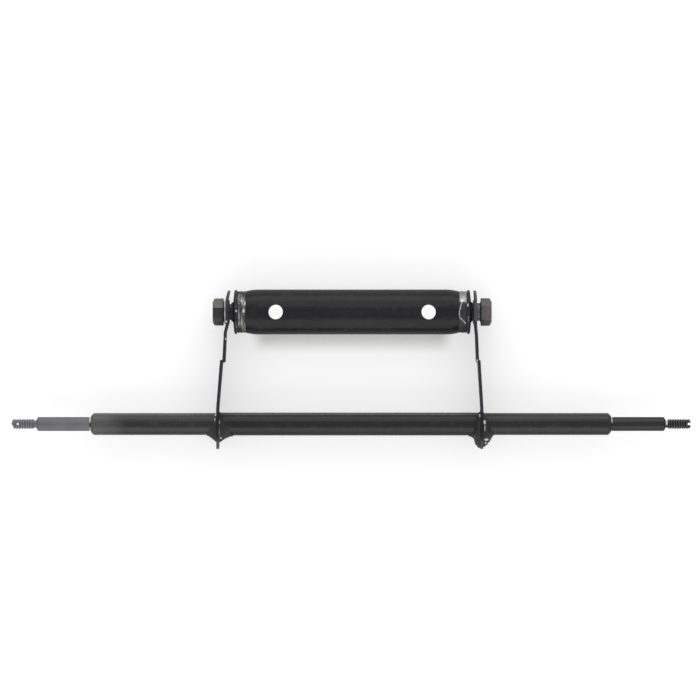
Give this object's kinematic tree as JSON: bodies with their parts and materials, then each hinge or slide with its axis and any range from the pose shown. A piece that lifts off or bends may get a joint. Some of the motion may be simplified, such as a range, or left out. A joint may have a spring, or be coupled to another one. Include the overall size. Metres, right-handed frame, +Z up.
{
  "type": "axle",
  "caption": "Straight wheel axle with threaded spindle ends, carried by swinging plate arms on a drilled cross tube that bolts under a vehicle.",
  "frame": {"origin": "middle of the footprint, on the floor that the part lies on", "axes": "+X along the axle, +Y from the axle to the pivot beam, +Z up, away from the floor"},
  "size_m": [0.679, 0.1596, 0.045],
  "materials": {
    "black_paint": "satin black paint over steel",
    "painted_weld": "black paint over rippled weld, bright where it has chipped",
    "weld_metal": "bare grey weld metal with straw and brown heat stain",
    "bolt_steel": "dark oxide with a brown cast",
    "zinc": "bright zinc plate",
    "bush_steel": "dull grey steel"
  },
  "bodies": {
    "beam": {"pivot_tube": "black_paint", "end_plug_left": "black_paint", "end_plug_right": "black_paint", "plug_weld_left": "weld_metal", "plug_weld_right": "weld_metal", "pivot_washer_left": "zinc", "pivot_washer_right": "zinc", "pivot_bolt_left": "bolt_steel", "pivot_bolt_right": "bolt_steel"},
    "axle_frame": {"pivot_bush_left": "bush_steel", "pivot_bush_right": "bush_steel", "swing_arm_left": "black_paint", "swing_arm_right": "black_paint", "axle_sleeve_left": "black_paint", "axle_sleeve_right": "black_paint", "arm_weld_left_inner": "painted_weld", "arm_weld_left_outer": "painted_weld", "arm_weld_right_inner": "painted_weld", "arm_weld_right_outer": "painted_weld", "axle_centre_tube": "black_paint", "axle_shaft": "black_paint"}
  },
  "joints": [
    {"name": "axle_swing", "type": "hinge", "parent": "beam", "child": "axle_frame", "pos_m": [0.0012, 0.05725, 0.0225], "axis": [-1, 0, 0], "continuous": true}
  ]
}
